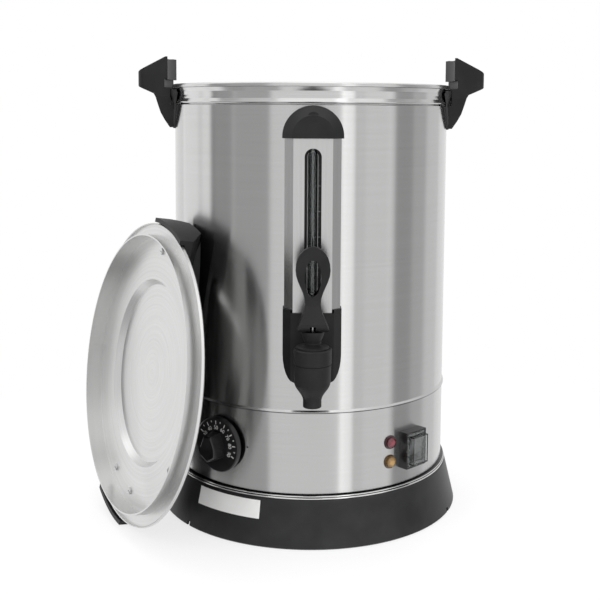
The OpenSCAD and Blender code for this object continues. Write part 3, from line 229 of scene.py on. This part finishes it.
def steel(name, grain, tint=0.66, spread=0.05, rough=0.22, rough_spread=0.12,
          lengthwise=0.75, height=4e-6, painted_shade_bands=(), shade_and_polish_side=None):
    """Brushed steel. Grain gives the direction across the scratches, and along them.
    Bands of height, (low, high), are painted near-black: painted shade in the seam gaps
    and grooves.
    Sides that face the given direction are smoother, and their colour is painted darker
    there as painted shade."""
    made = Finish(name, Metallic=1.0, Anisotropic=lengthwise, Anisotropic_Rotation=0.25)
    across, along, other = grain(made, *made.place())
    fine = made.noise(across * 2600, along * 14, other, 3.0)
    streak = made.noise(across * 420, along * 5, other, 2.0)
    patch = made.noise(across * 9, along * 9, other, 2.0)
    worn = fine * 0.5 + streak * 0.35 + patch * 0.15
    dark = tint - spread
    light = tint + spread
    colour = made.mix(worn.ramp(0.32, 0.68), (dark, dark, dark * 0.992, 1),
                      (light, light, light * 0.995, 1))
    z = made.place()[2]
    # Painted shade: each height band is mixed to near-black, standing for the shadow in
    # a seam or groove.
    for low, high in painted_shade_bands:
        colour = made.mix(z.band(low, high, 0.0004), colour, (0.03, 0.03, 0.03, 1))
    bare = rough - rough_spread / 2 + rough_spread * (fine * 0.6 + patch * 0.4)
    # Painted shade: sides facing the given direction get a darker grey, standing for the
    # shade between lid and urn; they are also smoother.
    if shade_and_polish_side:
        facing = made.add(
            "ShaderNodeVectorMath", {"operation": "DOT_PRODUCT"},
            {0: made.add("ShaderNodeNewGeometry", output="Normal"), 1: shade_and_polish_side},
            "Value").ramp(0.0, 0.4)
        colour = made.mix(facing, colour, (0.50, 0.50, 0.495, 1))
        bare = bare * (1 - 0.5 * facing)
    made.set("Base_Color", colour)
    made.set("Roughness", bare)
    made.bump(fine * 0.7 + streak * 0.3, height)
    return made


def round_body(made, x, y, z):
    """Scratches that run round the urn's axis."""
    return z, x.math("ARCTAN2", x, -y) * 0.15, (x * x + y * y) ** 0.5 * 40


def up_and_down(made, x, y, z):
    """Scratches that run up and down a sheet that faces the front."""
    return x, z, y * 3


def lid_rings(made, x, y, z):
    """Scratches in rings about the lid's own axis."""
    dx, dy, dz = (v - c for v, c in zip((x, y, z), LID_CENTRE))
    depth = dx * LID_OUT.x + dy * LID_OUT.y + dz * LID_OUT.z
    reach = (dx * dx + dy * dy + dz * dz - depth * depth).most(0) ** 0.5
    return reach, dz.math("ARCTAN2", dz, dx) * 0.12, depth * 60


def tank_rings(made, x, y, z):
    """Rings on the tank's floor, and lines round its wall."""
    return (x * x + y * y) ** 0.5 + z, x.math("ARCTAN2", x, -y) * 0.14, z * 3


# The height bands on the body and the trim are painted shade in the seam gap and between
# the beads.
body_steel = steel("brushed_body", round_body, tint=0.60, spread=0.02, rough=0.21,
                   rough_spread=0.05, lengthwise=0.9, height=1e-6,
                   painted_shade_bands=[(0.1345, 0.1353), (0.0511, 0.0518)])
guard_steel = steel("brushed_guard", up_and_down, tint=0.62, spread=0.03, rough=0.24,
                    rough_spread=0.08, lengthwise=0.5, height=1.5e-6)
collar_steel = steel("spun_collar", round_body, tint=0.66, spread=0.03, rough=0.18,
                     rough_spread=0.08, height=1e-6)
trim_steel = steel("bright_trim", round_body, tint=0.8, spread=0.03, rough=0.14,
                   rough_spread=0.06, lengthwise=0.2, height=1e-6,
                   painted_shade_bands=[(0.0491, 0.0494), (0.0509, 0.0515)])
# On the lid, the side that faces the urn gets painted shade and less roughness.
lid_steel = steel("spun_lid", lid_rings, tint=0.68, spread=0.06, rough=0.30,
                  lengthwise=0.4, shade_and_polish_side=LID_OUT)
tank_steel = steel("spun_tank", tank_rings, tint=0.68, rough=0.24, lengthwise=0.4)
print("steel finishes made")

# %% [markdown]
# ## Moulded plastic
# The black mouldings have a fine leather-like grain, a little lighter where it is
# rubbed, and dust near the floor. The dial, the switch and the inlet are smoother.
# One function makes them all, and the seals, wires, label and ink, because they
# differ only in colour, gloss and grain.


# %% Plastic finishes
def moulded(name, dark, light, rough=0.48, grain=1500, height=3e-5, coat=0.0,
            specular=0.4):
    """A moulding with a grained skin, faint rubbing and a trace of dust."""
    made = Finish(name, Coat_Weight=coat, Coat_Roughness=0.12,
                  Specular_IOR_Level=specular)
    x, y, z = made.place()
    skin = made.noise(x * grain, y * grain, z * grain, 1.5)
    rub = made.noise(x * 45, y * 45, z * 45, 4.0)
    dust = (1 - z.ramp(0.0, 0.02)) * rub
    made.paint((skin * 0.25 + rub.ramp(0.35, 0.75) * 0.75 + dust * 0.5).least(1),
               dark, light)
    made.set("Roughness", rough - 0.07 + skin * 0.06 + rub * 0.08 + dust * 0.1)
    made.bump(skin, height, 0.6)
    return made


black_plastic = moulded("grained_black", (0.006, 0.006, 0.006), (0.015, 0.015, 0.016),
                        specular=0.3)
base_plastic = moulded("grained_base", (0.008, 0.008, 0.009), (0.019, 0.019, 0.020),
                       rough=0.4, grain=1100, height=5e-5)
dial_plastic = moulded("smooth_black", (0.004, 0.004, 0.0045), (0.010, 0.010, 0.011),
                       rough=0.3, grain=900, height=6e-6, coat=0.3)
switch_plastic = moulded("switch_black", (0.007, 0.007, 0.008), (0.015, 0.015, 0.016),
                         rough=0.28, grain=1200, height=6e-6, coat=0.4)
plate_black = moulded("painted_black", (0.020, 0.020, 0.022), (0.036, 0.036, 0.038),
                      rough=0.4, grain=2400, height=8e-6)
rocker_plastic = moulded("rocker_grey", (0.095, 0.098, 0.098), (0.15, 0.153, 0.153),
                         rough=0.4, grain=1600, height=1e-5)
cream_plastic = moulded("cream_moulding", (0.62, 0.57, 0.46), (0.70, 0.66, 0.55),
                        rough=0.38, grain=1300, height=1e-5)
dark_plastic = moulded("phenolic_brown", (0.030, 0.021, 0.016), (0.055, 0.040, 0.031),
                       rough=0.5, grain=1300)
seal_rubber = moulded("silicone_red", (0.42, 0.12, 0.08), (0.52, 0.17, 0.11),
                      rough=0.6, grain=900, height=1e-5)
foot_rubber = moulded("foot_rubber", (0.020, 0.020, 0.020), (0.045, 0.045, 0.043),
                      rough=0.75, grain=700)
wire_rubber = moulded("wire_red", (0.36, 0.045, 0.03), (0.46, 0.075, 0.05),
                      rough=0.5, grain=1000, height=1e-5)
label_film = moulded("label_film", (0.78, 0.78, 0.77), (0.84, 0.84, 0.83), rough=0.42,
                     grain=2000, height=4e-6)
ink_white = moulded("white_ink", (0.70, 0.70, 0.69), (0.80, 0.80, 0.79), rough=0.5,
                    grain=3000, height=2e-6)
ink_dark = moulded("dark_ink", (0.030, 0.030, 0.032), (0.055, 0.055, 0.058), rough=0.5,
                   grain=3000, height=2e-6)
print("plastic finishes made")

# %% [markdown]
# ## Small metal parts
# These are plated screws, the aluminium heating plate, stained element sheaths and
# brass. Most are hidden or small, so cloudy noise and tiny pits are enough.


# %% Metal finishes
def metal(name, dark, light, rough, grain=300, height=4e-6):
    """Plain worked metal with cloudy plating or staining."""
    made = Finish(name, Metallic=1.0)
    x, y, z = made.place()
    cloud = made.noise(x * grain, y * grain, z * grain, 4.0)
    pits = made.noise(x * grain * 7, y * grain * 7, z * grain * 7, 1.0)
    made.paint(cloud.ramp(0.3, 0.7), dark, light)
    made.set("Roughness", rough - 0.06 + 0.12 * cloud)
    made.bump(pits, height)
    return made


zinc_plate = metal("zinc_plate", (0.56, 0.57, 0.58), (0.70, 0.70, 0.69), 0.24)
aluminium = metal("cast_aluminium", (0.62, 0.63, 0.64), (0.74, 0.75, 0.76), 0.4,
                  height=2e-5)
sheath = metal("stained_sheath", (0.16, 0.13, 0.11), (0.38, 0.34, 0.30), 0.42, grain=90)
brass = metal("brass", (0.52, 0.37, 0.14), (0.72, 0.55, 0.25), 0.28)
print("metal finishes made")

# %% [markdown]
# ## Clear parts, lamps and the scale strip
# The lamp lenses are tinted plastic with a ringed inner face, with a painted highlight
# in the middle and painted shade at the rim. The scale strip is black, with a white
# outline round the sight tube and graduations beside it. They are flat print, so they
# are drawn by sums on the place of a point and need no shapes of their own.


# %% Clear and printed finishes
def towards(azimuth):
    """The outward and sideways directions at an azimuth from the front."""
    turn = math.radians(azimuth)
    return (Vector((math.sin(turn), -math.cos(turn), 0)),
            Vector((math.cos(turn), math.sin(turn), 0)))


def clear(name, colour, rough, index):
    """Clear glass or plastic with faint smears."""
    made = Finish(name, Transmission_Weight=1.0, IOR=index)
    x, y, z = made.place()
    smear = made.noise(x * 60, y * 60, z * 25, 3.0)
    made.paint(smear, [0.97 * c for c in colour], colour)
    made.set("Roughness", rough * (0.4 + 1.2 * smear.ramp(0.35, 0.8)))
    return made


LAMP_AZIMUTH = 33.5


def lens_finish(name, dark, light, height):
    """A lamp lens: tinted and ringed, with a cloudy painted highlight in the middle and
    painted shade at the rim.
    """
    made = Finish(name, Transmission_Weight=0.25, Coat_Weight=0.8, Coat_Roughness=0.04,
                  IOR=1.5)
    x, y, z = made.place()
    side = towards(LAMP_AZIMUTH)[1]
    u = x * side.x + y * side.y
    v = z - height
    reach = (u * u + v * v) ** 0.5
    rings = made.add("ShaderNodeMath", {"operation": "SINE"}, {0: reach * 5200})
    cloud = made.noise(x * 420, y * 420, z * 420, 3.0)
    # Painted light and shade: the colour is lightest in a cloudy spot at the middle of
    # the lens and falls to dark at its rim.
    painted_inner_light = (1 - reach.ramp(0.001, 0.0064)) * (0.55 + 0.45 * cloud.ramp(0.3, 0.75))
    made.paint(painted_inner_light, dark, light)
    made.set("Roughness", 0.12 + 0.2 * cloud)
    made.bump(rings, 6e-5, 0.5)
    return made


FRONT_AZIMUTH = 0.7
SCALE_LOW = 0.2560
SCALE_HIGH = 0.3955


def scale_finish():
    """The black strip behind the gauge: a white outline and graduations."""
    made = Finish("scale_strip")
    x, y, z = made.place()
    side = towards(FRONT_AZIMUTH)[1]
    u = x * side.x + y * side.y
    half = 0.00505
    above = (z - (SCALE_HIGH - half)).most(0)
    below = (SCALE_LOW + half - z).most(0)
    edge = (u * u + above * above + below * below) ** 0.5
    outline = edge.band(half - 0.0003, half + 0.0003, 0.0001)
    step = z.wrap(0, 0.005)
    long_step = z.wrap(0, 0.025)
    right = u.band(0.0052, 0.0065, 0.0001)
    far_right = u.band(0.0052, 0.0074, 0.0001)
    inside = z.band(SCALE_LOW + 0.012, SCALE_HIGH - 0.012, 0.0003)
    ticks = (step.band(0.0022, 0.0025, 0.0001) * right
             + long_step.band(0.0121, 0.0125, 0.0001) * far_right) * inside
    print_share = (outline + ticks * 0.5).least(1)
    skin = made.noise(x * 1500, y * 1500, z * 1500)
    made.paint(print_share, (0.008, 0.008, 0.009), (0.80, 0.80, 0.79))
    made.set("Roughness", 0.3 + 0.15 * skin)
    made.bump(print_share + skin * 0.1, 4e-5, 0.6)
    return made


clear_cover = clear("clear_cover", (0.93, 0.95, 0.95), 0.06, 1.45)
tube_glass = clear("tube_glass", (0.92, 0.95, 0.95), 0.02, 1.47)
red_lens = lens_finish("red_lens", (0.030, 0.004, 0.007), (0.40, 0.06, 0.09), 0.0977)
amber_lens = lens_finish("amber_lens", (0.085, 0.042, 0.010), (0.78, 0.46, 0.14), 0.0773)
scale_strip = scale_finish()
print("clear and printed finishes made")

# %% [markdown]
# ## Finishes on the nodes
# The table gives each finish the nodes that wear it, so that one look at it shows
# what is made of what. The last line prints any node that was forgotten.

# %% Assign
WORN_BY = {
    body_steel: ["outer_shell", "lower_housing"],
    guard_steel: ["gauge_guard"],
    collar_steel: ["collar_band"],
    trim_steel: ["trim_ring"],
    lid_steel: ["lid_pan"],
    tank_steel: ["inner_tank"],
    black_plastic: ["tap_body", "tap_bonnet", "tap_lever", "tap_shield", "gauge_cap",
                    "handle_left", "handle_right", "lid_handle"],
    base_plastic: ["base_skirt"],
    dial_plastic: ["control_knob"],
    switch_plastic: ["switch_housing", "power_inlet"],
    plate_black: ["handle_plates"],
    rocker_plastic: ["switch_rocker"],
    cream_plastic: ["thermostat_body", "terminal_block", "lamp_bodies"],
    dark_plastic: ["thermal_cutout"],
    seal_rubber: ["seat_cup", "tube_seals", "shank_seals"],
    foot_rubber: ["foot_pads"],
    wire_rubber: ["wiring"],
    label_film: ["label_plate"],
    zinc_plate: ["bottom_plate", "bottom_screws", "flange_screws", "press_bar",
                 "tank_stud", "thermostat_screws", "inlet_screws", "handle_screws",
                 "cap_stud", "lid_screws", "tap_shank", "shank_nut", "tap_stem",
                 "closing_spring", "lever_pin"],
    aluminium: ["heat_plate"],
    sheath: ["heating_element", "warm_element"],
    brass: ["sensor_bulb", "capillary_tube", "thermostat_spindle"],
    clear_cover: ["switch_cover"],
    tube_glass: ["sight_tube"],
    red_lens: ["red_lamp"],
    amber_lens: ["amber_lamp"],
    scale_strip: ["scale_plate"],
}
dressed = set()
for finish, names in WORN_BY.items():
    for name in names:
        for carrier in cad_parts[name].material_slots:
            carrier.material = finish.material
        dressed.add(name)
print("undressed:", sorted(set(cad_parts) - dressed))

# %% [markdown]
# ## Printed marks
# The dial carries ticks and plain temperature numbers, which turn with it. A small
# index dot sits on the housing beside it. They are thin raised shapes rather than
# part of a material, so that they ride on the knob and are exported as meshes.


# %% Marks
def keep(name, mesh, finish, body):
    """Make a piece of a mesh, and let it ride on a body."""
    mesh.materials.clear()
    mesh.materials.append(finish.material)
    piece = bpy.data.objects.new(name, mesh)
    bpy.context.scene.collection.objects.link(piece)
    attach(piece, body)
    return piece


def face_frame(azimuth, distance, height):
    """Local x to the right, y up and z outwards, at a place on the body."""
    out, side = towards(azimuth)
    spot = out * distance + Vector((0, 0, height))
    return Matrix.Translation(spot) @ Matrix((
        (side.x, 0, out.x, 0), (side.y, 0, out.y, 0), (0, 1, 0, 0), (0, 0, 0, 1)))


KNOB_AZIMUTH = -37
CONTROL_HEIGHT = 0.0942
DIAL_FACE = 0.1572
NUMBERS = range(30, 100, 10)
FIRST_NUMBER = -61
NUMBER_STEP = 29
NUMBER_SIZE = 0.0058
NUMBER_REACH = 0.0176
TICK_REACH = 0.0250
TICK_WIDTH = 0.0009
TICK_LONG = 0.0040
TICK_SHORT = 0.0018
INK = 0.00008
dial = face_frame(KNOB_AZIMUTH, DIAL_FACE, CONTROL_HEIGHT)

ticks = bmesh.new()
for i in range(2 * len(NUMBERS) - 1):
    turn = Matrix.Rotation(math.radians(-FIRST_NUMBER - NUMBER_STEP * i / 2), 4, "Z")
    length = TICK_LONG if i % 2 == 0 else TICK_SHORT
    bmesh.ops.create_cube(ticks, size=1, matrix=dial @ turn @ Matrix.Translation(
        (0, TICK_REACH - length / 2, 0)) @ Matrix.Diagonal((TICK_WIDTH, length, INK, 1)))
bmesh.ops.bevel(ticks, geom=ticks.edges[:], offset=0.00002, segments=1)
tick_mesh = bpy.data.meshes.new("dial_ticks")
ticks.to_mesh(tick_mesh)
keep("dial_ticks", tick_mesh, ink_white, "knob")

for i, number in enumerate(NUMBERS):
    curve = bpy.data.curves.new("number", "FONT")
    curve.body = str(number)
    curve.size = NUMBER_SIZE
    curve.align_x = "CENTER"
    curve.align_y = "CENTER"
    curve.extrude = INK / 2
    curve.resolution_u = 3
    drawn = bpy.data.objects.new("number", curve)
    bpy.context.scene.collection.objects.link(drawn)
    bpy.context.view_layer.update()
    shape = bpy.data.meshes.new_from_object(
        drawn.evaluated_get(bpy.context.evaluated_depsgraph_get()))
    bpy.data.objects.remove(drawn)
    turn = Matrix.Rotation(math.radians(-FIRST_NUMBER - NUMBER_STEP * i), 4, "Z")
    shape.transform(dial @ turn @ Matrix.Translation((0, NUMBER_REACH, 0)))
    keep(f"dial_number_{number}", shape, ink_white, "knob")

DOT_AZIMUTH = -24.6
DOT_DISTANCE = 0.15003
DOT_HEIGHT = 0.0955
dot = bmesh.new()
bmesh.ops.create_cone(
    dot, cap_ends=True, segments=20, radius1=0.0011, radius2=0.0010, depth=0.0001,
    matrix=face_frame(DOT_AZIMUTH, DOT_DISTANCE, DOT_HEIGHT))
dot_mesh = bpy.data.meshes.new("index_dot")
dot.to_mesh(dot_mesh)
keep("index_dot", dot_mesh, ink_dark, "urn")
print("marks made")

# %% [markdown]
# ## Studio
# The camera sees plain white. Steel shows what stands round it, so reflections get
# a grey room with tall soft panels at chosen azimuths, in place of many real lamps.
# The floor keeps the urn's shadow and fades to plain white further out.


# %% World
SOFT_PANELS = [
    # azimuth of the panel, half its width, soft edge, brightness over the room
    (31, 4, 3, 0.92),
    (56, 16, 3, 0.45),
    (43, 1, 2, -0.10),
    (68, 1, 1, 0.10),
    (-3, 29, 3, 0.44),
    (-50, 12, 10, 0.08),
    (-66, 1, 1, 0.12),
    (-112, 20, 3, 0.62),
    (-104, 2, 2, -0.14),
    (103, 8, 3, 0.14),
    (122, 8, 4, 0.36),
    (180, 44, 6, 0.50),
    (-88, 2, 1, -0.12),
]
ROOM = 0.40
world = bpy.data.worlds.new("studio")
bpy.context.scene.world = world
world.use_nodes = True
room = Nodes(world.node_tree)
back = world.node_tree.nodes["Background"]
back.inputs["Color"].default_value = (1, 1, 1, 1)
dx, dy, dz = room.place("Generated")
azimuth = dx.math("ARCTAN2", dx, -dy) * (180 / math.pi)
level = ROOM
for centre, half, soft, bright in SOFT_PANELS:
    gap = abs((azimuth - centre).wrap(-180, 180))
    level = level + bright * (1 - gap.ramp(half, half + soft))
level = level + 0.5 * dz.ramp(0.5, 0.8)
white = room.light_path("Is Camera Ray").most(room.light_path("Is Transmission Ray"))
connect(world.node_tree, back.inputs["Strength"], level * (1 - white) + white)
print("soft panels:", len(SOFT_PANELS))

# %% Floor
FLOOR_RADIUS = 0.85
floor_mesh = bpy.data.meshes.new("floor")
sheet = bmesh.new()
bmesh.ops.create_circle(sheet, cap_ends=True, segments=96, radius=FLOOR_RADIUS)
sheet.to_mesh(floor_mesh)
floor = bpy.data.objects.new("floor", floor_mesh)
bpy.context.scene.collection.objects.link(floor)
floor.location.z = -0.0004
floor.visible_glossy = False
floor_look = Finish("floor_white", Base_Color=(0.86, 0.86, 0.86, 1), Roughness=0.9,
                    Specular_IOR_Level=0.1)
fx, fy, fz = floor_look.place()
away = ((fx * fx + fy * fy) ** 0.5).ramp(0.22, 0.6)
seen = floor_look.light_path("Is Camera Ray")
plain = floor_look.tree.nodes.new("ShaderNodeEmission")
blend = floor_look.tree.nodes.new("ShaderNodeMixShader")
floor_look.tree.links.new(floor_look.shader.outputs[0], blend.inputs[1])
floor_look.tree.links.new(plain.outputs[0], blend.inputs[2])
connect(floor_look.tree, blend.inputs[0], seen * (0.72 + 0.28 * away))
floor_look.tree.links.new(blend.outputs[0],
                          floor_look.tree.nodes["Material Output"].inputs[0])
floor_mesh.materials.append(floor_look.material)
print("floor radius", FLOOR_RADIUS, "m")

# %% Lamps
# name: place, width, height, power in watts
LAMPS = {
    "key_left": ((-1.5, -1.3, 1.3), 1.2, 1.2, 16),
    "fill_right": ((1.6, -1.1, 1.0), 1.2, 1.2, 10),
    "overhead": ((0.0, 0.1, 1.9), 1.6, 1.6, 14),
}
for name, (spot, wide, high, power) in LAMPS.items():
    lamp = bpy.data.lights.new(name, "AREA")
    lamp.shape = "RECTANGLE"
    lamp.size = wide
    lamp.size_y = high
    lamp.energy = power
    holder = bpy.data.objects.new(name, lamp)
    bpy.context.scene.collection.objects.link(holder)
    aim = Vector((0, 0, 0.22)) - Vector(spot)
    holder.matrix_world = (Matrix.Translation(spot)
                           @ aim.to_track_quat("-Z", "Y").to_matrix().to_4x4())
    holder.visible_glossy = False
bpy.context.scene.view_settings.view_transform = "Standard"
print("studio made")
